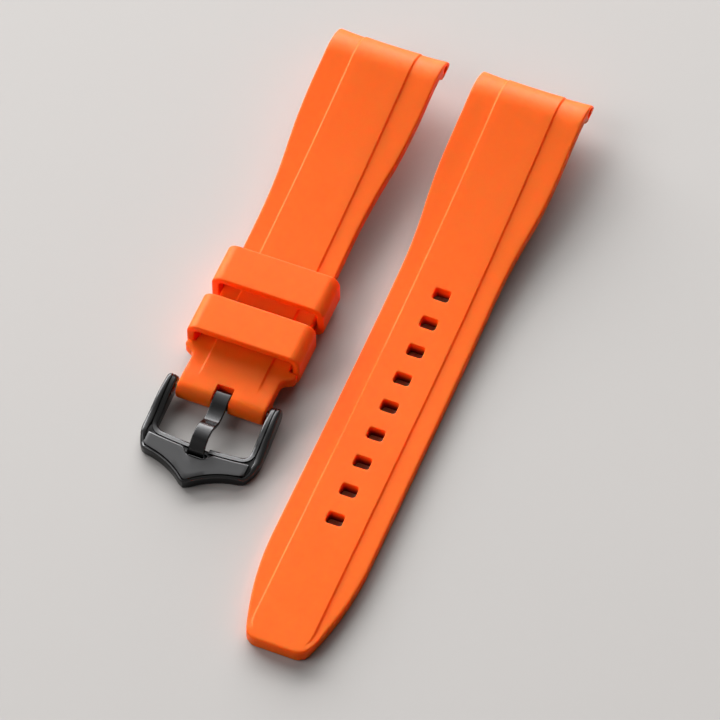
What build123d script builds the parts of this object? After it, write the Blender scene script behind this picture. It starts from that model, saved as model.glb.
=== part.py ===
from build123d import *
import os

# A two-piece rubber dive strap that lies flat, off its watch. X runs across the strap, +Y towards the
# two ends that fit between a watch's lugs, +Z up from the surface that the strap lies on. Millimetres.
# Each half is drawn with its lug end at y = 0 and runs towards -y, and the buckle with its spring bar
# at y = 0. They are then set in their places.

# Both halves: width at the lugs, moulded section and edges
LUG_WIDTH = 20.0
WING_THICKNESS = 2.2
WING_WIDTH = 3.3
PANEL_RISE = 0.3
EDGE_ROUND = 0.3

# Lug end: one long bow that lifts it off the surface, and the bead that holds a watch's spring bar.
# These heights are above the underside of the half's level stretch.
BOW_INSET = 70.0
CREST_INSET = 7.5
CREST_RISE = 5.2
SHOULDER_INSET = 1.4
SHOULDER_DROP = 1.5
END_LIP_HEIGHT = 4.05
END_HOLLOW = 0.5
LUG_BORE = 1.8
LUG_BORE_INSET = 2.3
BEAD_BOTTOM = 3.5
BEAD_HEIGHT = 3.0
BEAD_LENGTH = 2.9
BEAD_ROUND = 0.5
NOTCH_RUN = 2.4

# Tail half
TAIL_LENGTH = 118.4
TAIL_NARROWING = 3.1
TAIL_WAIST_START = 17.0
TAIL_WAIST_END = 43.5
TIP_STEP = 0.25
TIP_TAPER = 19.7
TIP_ROUND = 2.3
HOLE_COUNT = 9
HOLE_PITCH = 5.87
HOLE_ACROSS = 2.84
HOLE_ALONG = 2.25
HOLE_ROUND = 0.5
FIRST_HOLE_INSET = 45.8

# Buckle half, with the bead round the spring bar and the ears that stop the keepers
BUCKLE_SIDE_NARROWING = 3.4
BUCKLE_SIDE_WAIST_START = 12.6
BUCKLE_SIDE_WAIST_END = 41.5
BAR_INSET = 76.6
END_BEAD_RADIUS = 1.85
END_BEAD_RUN = 4.2
WING_FADE_RUN = 3.5
WING_FADE_GAP = 1.5
BUCKLE_END_STEP = 0.5
EAR_INSET = 68.2
EAR_OVERHANG = 1.5
EAR_LENGTH = 1.3
EAR_SLOPE = 0.8
EAR_ROUND = 0.5
EAR_FILLET = 1.2

# Keepers: two loose loops of the same rubber, both alike
KEEPER_BAND = 7.4
KEEPER_WALL = 1.3
KEEPER_SIDE_PLAY = 0.45
KEEPER_HEIGHT = 7.2
KEEPER_ROUND = 2.6
KEEPER_INNER_ROUND = 0.8
KEEPER_EDGE_ROUND = 0.25
KEEPER_SEAT_GAP = 0.2
KEEPER_SPACING = 10.5
EAR_TO_KEEPER = 0.2

# Spring bar through the buckle end: tube, two sprung pins with a head inside, and their coil spring
BAR_DIAMETER = 1.5
BAR_SEAT_PLAY = 0.03
TUBE_WALL = 0.2
TUBE_END_RECESS = 0.2
TUBE_LIP = 0.5
PIN_DIAMETER = 0.8
PIN_REACH = 1.2
PIN_END_CHAMFER = 0.12
HEAD_LENGTH = 1.2
HEAD_PLAY = 0.03
LIP_PLAY = 0.04
STOP_GAP = 0.05
SPRING_WIRE = 0.18

# Buckle frame: one casting, a shield-shaped front bar with two arms, and a bead round its window
FRAME_SIDE_PLAY = 0.4
ARM_WIDTH = 2.3
ARM_TAPER = 0.7
ARM_END_RADIUS = 1.65
WINDOW_REACH = 8.7
WINDOW_BOW = 0.6
WINDOW_ROUND = 1.2
FRONT_THICKNESS = 2.0
SIDE_REACH = 10.0
SIDE_ROUND = 4.0
CHEEK_REACH = 13.2
CHEEK_INSET = 1.5
CHEEK_ROUND = 1.3
SHIELD_HALF_WIDTH = 4.2
SHIELD_REACH = 14.4
POINT_REACH = 17.5
POINT_ROUND = 1.0
FRAME_CHAMFER = 0.5
RIM_ROUND = 0.45
PIN_HOLE_DEPTH = 1.4
PIN_HOLE_PLAY = 0.05
GROOVE_INSET = 0.85
GROOVE_WIDTH = 0.2
GROOVE_DEPTH = 0.2
PLATE_RISE = 0.2
PLATE_INSET = 0.55
PLATE_GAP = 0.15
PLATE_CHAMFER = 0.12
NOTCH_DEPTH = 0.75
NOTCH_SIDE_PLAY = 0.35
NOTCH_END_PLAY = 0.4
NOTCH_ROUND = 0.8

# Buckle tongue: one bent strip, curled round the spring bar
TONGUE_WIDTH = 2.7
TONGUE_THICKNESS = 0.7
TONGUE_PLAY = 0.05
TONGUE_REACH = 11.2
TONGUE_DIP_REACH = 3.7
TONGUE_DIP = 0.85
TONGUE_HUMP_REACH = 8.3
TONGUE_HUMP = 0.9
TONGUE_REST_GAP = 0.12
TONGUE_EDGE_ROUND = 0.15
TONGUE_SEAM = 0.12
SLOT_SIDE_PLAY = 0.2
SLOT_BACK_PLAY = 0.15
SLOT_ROUND = 0.3

# Layout of the two halves beside each other, and one overrun for every cut
HALF_SPACING = 25.8
LUG_STAGGER = 1.55
CUT_OVERRUN = 2.0

TAIL_WIDTH = LUG_WIDTH - TAIL_NARROWING
PANEL_WIDTH = TAIL_WIDTH - 2 * WING_WIDTH
TIP_WIDTH = PANEL_WIDTH - 2 * TIP_STEP
BUCKLE_SIDE_WIDTH = LUG_WIDTH - BUCKLE_SIDE_NARROWING
BUCKLE_END_WIDTH = BUCKLE_SIDE_WIDTH - 2 * BUCKLE_END_STEP
EAR_WIDTH = BUCKLE_SIDE_WIDTH + 2 * EAR_OVERHANG
FRAME_WINDOW = BUCKLE_END_WIDTH + 2 * FRAME_SIDE_PLAY
FRAME_WIDTH = FRAME_WINDOW + 2 * ARM_WIDTH
SEAT = KEEPER_WALL + KEEPER_SEAT_GAP
PANEL_TOP = WING_THICKNESS + PANEL_RISE
BLANK_HEIGHT = CREST_RISE + SEAT + PANEL_TOP + CUT_OVERRUN
BAR_HEIGHT = SEAT + PANEL_TOP - END_BEAD_RADIUS
BUCKLE_X = -(HALF_SPACING + (LUG_WIDTH - FRAME_WIDTH) / 2) / 2
TAIL_X = BUCKLE_X + HALF_SPACING
TAIL_Y = TAIL_LENGTH / 2
BUCKLE_Y = TAIL_Y - LUG_STAGGER
BAR_Y = BUCKLE_Y - BAR_INSET
LUG_BORE_HEIGHT = BEAD_BOTTOM + BEAD_HEIGHT / 2
TUBE_HALF = BUCKLE_END_WIDTH / 2 - TUBE_END_RECESS
HEAD_SEAT = TUBE_HALF - TUBE_LIP - STOP_GAP
CURL_RADIUS = BAR_DIAMETER / 2 + TONGUE_PLAY + TONGUE_THICKNESS


def s_curve(start, end, heading):
    """Two tangent arcs that leave start and reach end along the same heading."""
    middle = ((start[0] + end[0]) / 2, (start[1] + end[1]) / 2)
    first = TangentArc(start, middle, tangent=heading)
    second = TangentArc(middle, end, tangent=first % 1)
    return [first, second]


def chain(*points):
    """Straight lines from point to point."""
    return [Line(a, b) for a, b in zip(points, points[1:])]


def across(lines, width):
    """A side view, drawn as (y, z), made solid across the strap's width."""
    face = make_face([Plane.YZ * line for line in lines])
    return extrude(face, amount=width / 2, both=True)


def cross_hole(diameter, width, y, z):
    """Cutter or shaft of a round hole that runs across the strap."""
    return Location((0, y, z), (0, 90, 0)) * Cylinder(diameter / 2, width)


def both_sides(lines):
    """The lines and their mirror images about the strap's middle."""
    return lines + [mirror(line, about=Plane.YZ) for line in lines]


def lug_top(lift, level):
    """Top of the lug end in the side view: the bow, then its crest, the shoulder and the lip."""
    crest = (-CREST_INSET, level + CREST_RISE + WING_THICKNESS + lift)
    shoulder = (-SHOULDER_INSET, crest[1] - SHOULDER_DROP)
    lip = (0, level + END_LIP_HEIGHT + lift)
    bow = TangentArc((-BOW_INSET, level + WING_THICKNESS + lift), crest, tangent=(1, 0))
    rise = TangentArc(crest, shoulder, tangent=bow % 1)
    return [bow, rise, TangentArc(shoulder, lip, tangent=rise % 1)]


def lug_underside(level):
    """Underside of the lug end in the side view: rounded end, round bead, notch behind it and bow."""
    end_foot = (0, level + BEAD_BOTTOM + BEAD_ROUND)
    bead_foot = (-BEAD_ROUND, level + BEAD_BOTTOM)
    bead_back = (-BEAD_LENGTH, level + BEAD_BOTTOM)
    notch_top = (-BEAD_LENGTH - NOTCH_RUN, level + CREST_RISE)
    under_crest = (-CREST_INSET, level + CREST_RISE)
    bead = [TangentArc(end_foot, bead_foot, tangent=(0, -1))] + chain(bead_foot, bead_back)
    bead += s_curve(bead_back, notch_top, (-1, 0)) + chain(notch_top, under_crest)
    end = chain((0, level + END_LIP_HEIGHT + PANEL_RISE), end_foot)
    return bead + end + [TangentArc((-BOW_INSET, level), under_crest, tangent=(1, 0))]


def lug_plan(half_width, waist_start, waist_end):
    """Plan of a half's hollow lug end, and of its right edge as far as the end of its waist."""
    corner = (LUG_WIDTH / 2, 0)
    hollow = ThreePointArc((-LUG_WIDTH / 2, 0), (0, -END_HOLLOW), corner)
    start = (LUG_WIDTH / 2, -waist_start)
    return hollow, chain(corner, start) + s_curve(start, (half_width, -waist_end), (0, -1))


def wing_cutter(low_top, back, level_top, level):
    """What is cut away above both wings, so that the panel between them stands proud."""
    lip = (0, level + END_LIP_HEIGHT)
    far_lip = (CUT_OVERRUN, lip[1])
    over = chain(lip, far_lip, (CUT_OVERRUN, BLANK_HEIGHT), (back, BLANK_HEIGHT), (back, level_top))
    slab = across(low_top + over, LUG_WIDTH + CUT_OVERRUN)
    return slab - Box(PANEL_WIDTH, 2 * TAIL_LENGTH + CUT_OVERRUN, 2 * BLANK_HEIGHT)


def rounded_top(strap):
    """The strap with the long top edges of its side walls rounded, as the mould leaves them."""
    edges = []
    for face in strap.faces():
        normal = face.normal_at()
        middle = face.center()
        is_side = abs(normal.X) > abs(normal.Y) and abs(normal.X) > abs(normal.Z)
        if is_side and abs(middle.X) > PANEL_WIDTH / 2 + PANEL_RISE:
            edges += [edge for edge in face.edges().filter_by(Axis.Z, reverse=True)
                      if edge.center().Z > middle.Z]
    return fillet(edges, EDGE_ROUND)


def tail_side_strap():
    """Long half: panel, waist, tapered tip and a row of holes."""
    hollow, edge = lug_plan(TAIL_WIDTH / 2, TAIL_WAIST_START, TAIL_WAIST_END)
    taper_start = (TAIL_WIDTH / 2, TIP_TAPER - TAIL_LENGTH)
    tip = (TIP_WIDTH / 2, -TAIL_LENGTH)
    edge += chain((TAIL_WIDTH / 2, -TAIL_WAIST_END), taper_start)
    edge += [TangentArc(taper_start, tip, tangent=(0, -1))]
    outline = make_face([hollow] + both_sides(edge) + chain((-tip[0], tip[1]), tip))
    outline = fillet(outline.vertices().sort_by(Axis.Y)[0:2], TIP_ROUND)
    far = -TAIL_LENGTH - CUT_OVERRUN
    side = lug_top(PANEL_RISE, 0) + lug_underside(0)
    side += chain((-BOW_INSET, 0), (far, 0), (far, PANEL_TOP), (-BOW_INSET, PANEL_TOP))
    strap = extrude(outline, amount=BLANK_HEIGHT) & across(side, LUG_WIDTH)
    low_top = lug_top(0, 0) + chain((far, WING_THICKNESS), (-BOW_INSET, WING_THICKNESS))
    strap -= wing_cutter(low_top, far, WING_THICKNESS, 0)
    strap = rounded_top(strap)
    hole = extrude(RectangleRounded(HOLE_ACROSS, HOLE_ALONG, HOLE_ROUND), amount=BLANK_HEIGHT)
    for number in range(HOLE_COUNT):
        strap -= Pos(0, -FIRST_HOLE_INSET - number * HOLE_PITCH, 0) * hole
    return strap - cross_hole(LUG_BORE, LUG_WIDTH + CUT_OVERRUN, -LUG_BORE_INSET, LUG_BORE_HEIGHT)


def ear_plan():
    """Right-hand ear in plan: a square back against the keepers and a front that runs into the end."""
    half_ear = EAR_WIDTH / 2
    root = PANEL_WIDTH / 2
    ear_front = -EAR_INSET - EAR_LENGTH
    foot = (BUCKLE_END_WIDTH / 2, ear_front - EAR_SLOPE)
    run_out = (foot[0], foot[1] - 2 * EAR_FILLET)
    points = [(root, -EAR_INSET), (half_ear, -EAR_INSET), (half_ear, ear_front), foot, run_out]
    edge = FilletPolyline(*points, radius=[EAR_ROUND, EAR_ROUND, EAR_FILLET])
    return make_face([edge] + chain(run_out, (root, run_out[1]), (root, -EAR_INSET)))


def buckle_side_body():
    """Short half as far as the spring bar: panel that fades out, waist, and the fall to the end bead."""
    hollow, edge = lug_plan(BUCKLE_SIDE_WIDTH / 2, BUCKLE_SIDE_WAIST_START, BUCKLE_SIDE_WAIST_END)
    neck = (BUCKLE_SIDE_WIDTH / 2, -EAR_INSET)
    narrow = (BUCKLE_END_WIDTH / 2, -EAR_INSET - EAR_LENGTH - EAR_SLOPE)
    end = (narrow[0], -BAR_INSET - CUT_OVERRUN)
    edge += chain((neck[0], -BUCKLE_SIDE_WAIST_END), neck) + s_curve(neck, narrow, (0, -1))
    edge += chain(narrow, end)
    outline = make_face([hollow] + both_sides(edge) + chain((-end[0], end[1]), end))
    top = SEAT + PANEL_TOP
    wing_top = SEAT + WING_THICKNESS
    bead_low = (-BAR_INSET, BAR_HEIGHT - END_BEAD_RADIUS)
    bead_start = (END_BEAD_RUN - BAR_INSET, SEAT)
    side = lug_top(PANEL_RISE, SEAT) + lug_underside(SEAT)
    side += chain((-BOW_INSET, top), (-BAR_INSET, top), bead_low)
    side += s_curve(bead_low, bead_start, (1, 0)) + chain(bead_start, (-BOW_INSET, SEAT))
    body = extrude(outline, amount=BLANK_HEIGHT) & across(side, LUG_WIDTH)
    fade_end = (WING_FADE_GAP - BAR_INSET, top)
    fade_start = (fade_end[0] + WING_FADE_RUN, wing_top)
    low_top = lug_top(0, SEAT) + chain(fade_start, (-BOW_INSET, wing_top))
    low_top += s_curve(fade_end, fade_start, (1, 0))
    return rounded_top(body - wing_cutter(low_top, fade_end[0], top, SEAT))


def buckle_side_strap():
    """Short half: its body, the two ears, the end bead with its bore, and the slot for the tongue."""
    ear = Pos(0, 0, SEAT) * extrude(ear_plan(), amount=WING_THICKNESS)
    ear = fillet(ear.edges().group_by(Axis.Z)[-1], EDGE_ROUND)
    bead = cross_hole(2 * END_BEAD_RADIUS, BUCKLE_END_WIDTH, -BAR_INSET, BAR_HEIGHT)
    bead = fillet(bead.edges().filter_by(GeomType.CIRCLE), EDGE_ROUND)
    strap = buckle_side_body() + ear + mirror(ear, about=Plane.YZ) + bead
    slot_back = CURL_RADIUS + SLOT_BACK_PLAY - BAR_INSET
    slot_length = slot_back + BAR_INSET + END_BEAD_RADIUS + CUT_OVERRUN
    slot_width = TONGUE_WIDTH + 2 * SLOT_SIDE_PLAY
    slot = extrude(RectangleRounded(slot_width, slot_length, SLOT_ROUND), amount=BLANK_HEIGHT)
    strap -= Pos(0, slot_back - slot_length / 2, 0) * slot
    strap -= cross_hole(LUG_BORE, LUG_WIDTH + CUT_OVERRUN, -LUG_BORE_INSET, SEAT + LUG_BORE_HEIGHT)
    bar_hole = BAR_DIAMETER + 2 * BAR_SEAT_PLAY
    return strap - cross_hole(bar_hole, LUG_WIDTH + CUT_OVERRUN, -BAR_INSET, BAR_HEIGHT)


def keeper():
    """One loop, open along Y, with its bottom on the surface and its front face at y = 0."""
    inside = BUCKLE_SIDE_WIDTH + 2 * KEEPER_SIDE_PLAY
    outer = RectangleRounded(inside + 2 * KEEPER_WALL, KEEPER_HEIGHT, KEEPER_ROUND)
    inner = RectangleRounded(inside, KEEPER_HEIGHT - 2 * KEEPER_WALL, KEEPER_INNER_ROUND)
    loop = extrude(Plane.XZ * (outer - inner), amount=-KEEPER_BAND)
    rims = [edge for face in (loop.faces().sort_by(Axis.Y)[0], loop.faces().sort_by(Axis.Y)[-1])
            for edge in face.edges()]
    return Pos(0, 0, KEEPER_HEIGHT / 2) * fillet(rims, KEEPER_EDGE_ROUND)


def spring_bar_tube():
    """Tube with a turned-in lip at each end that keeps the pins' heads inside."""
    bore = BAR_DIAMETER - 2 * TUBE_WALL
    tube = Cylinder(BAR_DIAMETER / 2, 2 * TUBE_HALF)
    tube -= Cylinder(bore / 2, 2 * (TUBE_HALF - TUBE_LIP))
    tube -= Cylinder(PIN_DIAMETER / 2 + LIP_PLAY, 2 * TUBE_HALF + CUT_OVERRUN)
    return Rot(0, 90, 0) * tube


def spring_bar_plunger():
    """Right-hand pin: head inside the tube, stem out through the lip and into the frame's arm."""
    head = (BAR_DIAMETER / 2 - TUBE_WALL - HEAD_PLAY)
    tip = FRAME_WINDOW / 2 + PIN_REACH
    body = Cylinder(head, HEAD_LENGTH, align=(Align.CENTER, Align.CENTER, Align.MAX))
    stem = Cylinder(PIN_DIAMETER / 2, tip - HEAD_SEAT, align=(Align.CENTER, Align.CENTER, Align.MIN))
    stem = chamfer(stem.edges().sort_by(Axis.Z)[-1], PIN_END_CHAMFER)
    return Pos(HEAD_SEAT, 0, 0) * Rot(0, 90, 0) * (body + stem)


def spring_bar_spring():
    """Coil spring between the two heads, as the sleeve that it fills."""
    outside = BAR_DIAMETER / 2 - TUBE_WALL - HEAD_PLAY
    length = 2 * (HEAD_SEAT - HEAD_LENGTH - STOP_GAP)
    return Rot(0, 90, 0) * (Cylinder(outside, length) - Cylinder(outside - SPRING_WIRE, length))


def frame_top(lift):
    """Top of the frame in the side view, from the spring bar forward, raised by lift."""
    bar_top = (0, BAR_HEIGHT + ARM_END_RADIUS + lift)
    front = (-SIDE_REACH, FRONT_THICKNESS + lift)
    return s_curve(bar_top, front, (-1, 0)) + chain(front, (-POINT_REACH - CUT_OVERRUN, front[1]))


def above_frame(lift):
    """Everything over the frame's top line, raised by lift, behind the bar as well."""
    bar_top = BAR_HEIGHT + ARM_END_RADIUS + lift
    front = -POINT_REACH - CUT_OVERRUN
    back = ARM_END_RADIUS + CUT_OVERRUN
    over = chain((0, bar_top), (back, bar_top), (back, BLANK_HEIGHT), (front, BLANK_HEIGHT))
    over += chain((front, BLANK_HEIGHT), (front, FRONT_THICKNESS + lift))
    return across(frame_top(lift) + over, FRAME_WIDTH + CUT_OVERRUN)


def window_plan():
    """Plan of the frame's window, open behind the arms, with its bowed front edge."""
    half = FRAME_WINDOW / 2
    back = ARM_END_RADIUS + CUT_OVERRUN
    sides = chain((-half, -WINDOW_REACH), (-half, back), (half, back), (half, -WINDOW_REACH))
    bow = ThreePointArc((-half, -WINDOW_REACH), (0, -WINDOW_REACH - WINDOW_BOW), (half, -WINDOW_REACH))
    window = make_face(sides + [bow])
    return fillet(window.vertices().sort_by(Axis.Y)[0:2], WINDOW_ROUND)


def frame_plan():
    """Outer plan of the frame: bowed arms, cheeks and two hollow curves that meet in a point."""
    half = FRAME_WIDTH / 2
    back = ARM_END_RADIUS + CUT_OVERRUN
    cheek = (half - CHEEK_INSET, -CHEEK_REACH)
    point = (0, -POINT_REACH)
    corner = (half, -SIDE_REACH)
    end = (half - ARM_TAPER, back)
    edge = [TangentArc(corner, end, tangent=(0, 1))] + chain(corner, cheek)
    edge += [ThreePointArc(cheek, (SHIELD_HALF_WIDTH, -SHIELD_REACH), point)]
    outline = make_face(both_sides(edge) + chain((-end[0], back), end))
    low = outline.vertices().sort_by(Axis.Y)
    outline = fillet(low[3:5], SIDE_ROUND)
    outline = fillet(outline.vertices().sort_by(Axis.Y)[1:3], CHEEK_ROUND)
    return fillet(outline.vertices().sort_by(Axis.Y)[0:1], POINT_ROUND)


def running_edges(solid):
    """The edges that follow an outline: all but the upright ones and those straight across."""
    skipped = solid.edges().filter_by(Axis.Z) + solid.edges().filter_by(Axis.X)
    return [edge for edge in solid.edges() if edge not in skipped]


def frame_blank():
    """The frame's outer form, still without its window: side view and plan, chamfered all round."""
    bar_low = (0, BAR_HEIGHT - ARM_END_RADIUS)
    bar_top = (0, BAR_HEIGHT + ARM_END_RADIUS)
    front = -POINT_REACH - CUT_OVERRUN
    side = frame_top(0) + [ThreePointArc(bar_top, (ARM_END_RADIUS, BAR_HEIGHT), bar_low)]
    side += s_curve(bar_low, (-SIDE_REACH, 0), (-1, 0))
    side += chain((-SIDE_REACH, 0), (front, 0), (front, FRONT_THICKNESS))
    blank = extrude(frame_plan(), amount=BLANK_HEIGHT) & across(side, FRAME_WIDTH)
    return chamfer(running_edges(blank), FRAME_CHAMFER)


def shield_plate(window_rim):
    """Plate that stands proud of the frame's front, clear of the groove round the window."""
    behind = SIDE_REACH + ARM_END_RADIUS + CUT_OVERRUN
    back_edge = ARM_END_RADIUS + CUT_OVERRUN + GROOVE_WIDTH
    plate = offset(frame_plan(), amount=-PLATE_INSET) - offset(window_plan(), amount=window_rim + PLATE_GAP)
    plate -= Pos(0, back_edge - behind / 2) * Rectangle(2 * FRAME_WIDTH, behind)
    plate = extrude(plate, amount=2 * PLATE_RISE)
    plate = chamfer(plate.edges().group_by(Axis.Z)[-1], PLATE_CHAMFER)
    return Pos(0, 0, FRONT_THICKNESS - PLATE_RISE) * plate


def buckle_frame():
    """Frame with its window, rounded inner rim, groove, shield plate, tongue rest and pin holes."""
    window = window_plan()
    blank = frame_blank()
    frame = blank - extrude(window, amount=BLANK_HEIGHT)
    frame = fillet([edge for edge in running_edges(frame) if edge not in blank.edges()], RIM_ROUND)
    rim = GROOVE_INSET + GROOVE_WIDTH
    groove = offset(window, amount=rim) - offset(window, amount=GROOVE_INSET)
    frame -= extrude(groove, amount=BLANK_HEIGHT) & above_frame(-GROOVE_DEPTH)
    frame += shield_plate(rim)
    notch_width = TONGUE_WIDTH + 2 * NOTCH_SIDE_PLAY
    notch_end = -TONGUE_REACH - NOTCH_END_PLAY
    notch_length = -notch_end - WINDOW_REACH + CUT_OVERRUN
    notch = extrude(RectangleRounded(notch_width, notch_length, NOTCH_ROUND), amount=BLANK_HEIGHT)
    frame -= Pos(0, notch_end + notch_length / 2, FRONT_THICKNESS - NOTCH_DEPTH) * notch
    pin_hole = PIN_DIAMETER + 2 * PIN_HOLE_PLAY
    return frame - cross_hole(pin_hole, FRAME_WINDOW + 2 * PIN_HOLE_DEPTH, 0, BAR_HEIGHT)


def buckle_tongue():
    """Bent strip: curl round the bar, dip, hump and a tip that rests in the frame's notch."""
    middle = CURL_RADIUS - TONGUE_THICKNESS / 2
    start = (0, BAR_HEIGHT + middle)
    dip = (-TONGUE_DIP_REACH, start[1] - TONGUE_DIP)
    hump = (-TONGUE_HUMP_REACH, start[1] + TONGUE_HUMP)
    rest = FRONT_THICKNESS - NOTCH_DEPTH + TONGUE_REST_GAP
    tip = (-TONGUE_REACH, rest + TONGUE_THICKNESS / 2)
    path = s_curve(start, dip, (-1, 0)) + s_curve(dip, hump, (-1, 0))
    path += [TangentArc(hump, tip, tangent=(-1, 0))]
    strip = Plane.YZ * trace(path, TONGUE_THICKNESS)
    tongue = extrude(strip, amount=TONGUE_WIDTH / 2, both=True)
    tongue += cross_hole(2 * CURL_RADIUS, TONGUE_WIDTH, 0, BAR_HEIGHT)
    tongue = fillet(tongue.edges().filter_by(Axis.X, reverse=True), TONGUE_EDGE_ROUND)
    tongue -= cross_hole(BAR_DIAMETER + 2 * TONGUE_PLAY, TONGUE_WIDTH, 0, BAR_HEIGHT)
    seam = Box(TONGUE_WIDTH, CURL_RADIUS, TONGUE_SEAM)
    return tongue - Pos(0, -CURL_RADIUS / 2, BAR_HEIGHT) * seam


at_tail = Pos(TAIL_X, TAIL_Y, 0)
at_buckle_side = Pos(BUCKLE_X, BUCKLE_Y, 0)
at_frame = Pos(BUCKLE_X, BAR_Y, 0)
at_bar = Pos(BUCKLE_X, BAR_Y, BAR_HEIGHT)
at_lower_keeper = Pos(BUCKLE_X, BUCKLE_Y - EAR_INSET + EAR_TO_KEEPER, 0)
at_upper_keeper = Pos(0, KEEPER_SPACING, 0) * at_lower_keeper
plunger = spring_bar_plunger()

nodes = {
    "tail_side_strap": at_tail * tail_side_strap(),
    "buckle_side_strap": at_buckle_side * buckle_side_strap(),
    "lower_keeper": at_lower_keeper * keeper(),
    "upper_keeper": at_upper_keeper * keeper(),
    "buckle_frame": at_frame * buckle_frame(),
    "buckle_tongue": at_frame * buckle_tongue(),
    "spring_bar_tube": at_bar * spring_bar_tube(),
    "spring_bar_plunger_right": at_bar * plunger,
    "spring_bar_plunger_left": at_bar * mirror(plunger, about=Plane.YZ),
    "spring_bar_spring": at_bar * spring_bar_spring(),
}

os.makedirs("parts", exist_ok=True)
for name, solid in nodes.items():
    export_step(solid, "parts/" + name + ".step")
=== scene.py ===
import cmath
import math
from collections import namedtuple

import bmesh
import bpy
import numpy
from mathutils import Matrix, Vector


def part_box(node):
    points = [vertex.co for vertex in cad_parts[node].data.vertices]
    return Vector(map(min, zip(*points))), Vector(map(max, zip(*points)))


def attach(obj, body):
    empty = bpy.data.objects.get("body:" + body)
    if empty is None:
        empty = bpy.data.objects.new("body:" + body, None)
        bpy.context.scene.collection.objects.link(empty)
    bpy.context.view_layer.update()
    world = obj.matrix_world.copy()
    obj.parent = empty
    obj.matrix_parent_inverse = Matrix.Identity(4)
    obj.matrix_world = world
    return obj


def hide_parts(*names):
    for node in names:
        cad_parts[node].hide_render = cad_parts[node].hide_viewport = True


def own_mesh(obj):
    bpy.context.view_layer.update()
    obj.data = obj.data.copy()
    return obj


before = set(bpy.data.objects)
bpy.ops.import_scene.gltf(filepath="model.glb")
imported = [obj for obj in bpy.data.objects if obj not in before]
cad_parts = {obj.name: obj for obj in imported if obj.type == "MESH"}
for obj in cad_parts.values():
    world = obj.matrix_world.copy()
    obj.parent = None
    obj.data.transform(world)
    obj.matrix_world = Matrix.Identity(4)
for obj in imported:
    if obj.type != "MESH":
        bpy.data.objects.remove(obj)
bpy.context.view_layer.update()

# The table top that the strap lies on, at z = 0: pale warm grey laminate, plain and matt. The scene
# is in metres, and the strap's own sizes are written in millimetres, times MM.
MM = 0.001
TABLE_SIZE = 4.0
TABLE_COLOUR = (0.561, 0.54, 0.524, 1)
TABLE_ROUGHNESS = 0.9
TABLE_SHEEN = 0.2


class Value:
    """A shader socket that adds Math nodes when it is used in an expression."""

    def __init__(self, tree, socket):
        self.tree = tree
        self.socket = socket

    def _math(self, operation, *terms):
        return node(self.tree, "ShaderNodeMath", {"operation": operation}, dict(enumerate(terms)))

    def __add__(self, other):
        return self._math("ADD", self, other)

    __radd__ = __add__

    def __mul__(self, other):
        return self._math("MULTIPLY", self, other)

    __rmul__ = __mul__


def node(tree, kind, settings=None, values=None, output=0):
    """Adds one node: its settings first, then its sockets' values or links. Gives one output."""
    made = tree.nodes.new(kind)
    for name, setting in (settings or {}).items():
        setattr(made, name, setting)
    for name, value in (values or {}).items():
        if isinstance(value, Value):
            tree.links.new(value.socket, made.inputs[name])
        else:
            made.inputs[name].default_value = value
    return Value(tree, made.outputs[output])


def material(name):
    """An empty node material, ready for a shader."""
    made = bpy.data.materials.new(name)
    made.use_nodes = True
    made.node_tree.nodes.clear()
    return made


def finish_material(made, shader):
    """Joins the shader to the material's output."""
    tree = made.node_tree
    output = tree.nodes.new("ShaderNodeOutputMaterial")
    tree.links.new(shader.socket, output.inputs["Surface"])
    return made


def table_material():
    """Plain matt laminate in one pale warm grey."""
    made = material("table_laminate")
    shader = node(made.node_tree, "ShaderNodeBsdfPrincipled", values={
        "Base Color": TABLE_COLOUR, "Roughness": TABLE_ROUGHNESS, "Specular IOR Level": TABLE_SHEEN})
    return finish_material(made, shader)


shape = bmesh.new()
bmesh.ops.create_grid(shape, x_segments=1, y_segments=1, size=TABLE_SIZE / 2)
table_mesh = bpy.data.meshes.new("table_top")
shape.to_mesh(table_mesh)
shape.free()
table = bpy.data.objects.new("table_top", table_mesh)
bpy.context.collection.objects.link(table)
table.data.materials.append(table_material())

# Light as in the photograph: two wide soft boxes behind the object, the stronger one low, a third at
# its left, and nearly nothing from the room, which the camera and the metal see as a grey backdrop.
AZIMUTH = math.radians(21.96)
ELEVATION = math.radians(55.47)
ROOM_COLOUR = (1.0, 0.98, 0.97, 1)
ROOM_STRENGTH = 0.03
BACKDROP_COLOUR = (0.34, 0.33, 0.32, 1)
BOX_DISTANCE = 2.2
BOXES = {
    "low_box": {"power": 138.0, "around": 106, "up": 19, "wide": 3.4, "high": 1.1},
    "high_box": {"power": 24.0, "around": 90, "up": 45, "wide": 3.0, "high": 1.4},
    "side_box": {"power": 18.0, "around": 185, "up": 36, "wide": 1.6, "high": 1.2}}

to_right = Vector((math.cos(AZIMUTH), math.sin(AZIMUTH), 0))
to_back = Vector((-math.sin(AZIMUTH), math.cos(AZIMUTH), 0))

world = bpy.data.worlds.new("studio")
world.use_nodes = True
room = world.node_tree
room.nodes.clear()
seen = node(room, "ShaderNodeLightPath", output="Is Camera Ray")
seen = seen + node(room, "ShaderNodeLightPath", output="Is Glossy Ray")
seen = seen + node(room, "ShaderNodeLightPath", output="Is Transmission Ray")
lit = node(room, "ShaderNodeBackground", values={"Color": ROOM_COLOUR, "Strength": ROOM_STRENGTH})
shown = node(room, "ShaderNodeBackground", values={"Color": BACKDROP_COLOUR, "Strength": 1.0})
sky = node(room, "ShaderNodeMixShader", values={0: seen, 1: lit, 2: shown})
room.links.new(sky.socket, room.nodes.new("ShaderNodeOutputWorld").inputs["Surface"])
bpy.context.scene.world = world

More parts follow.
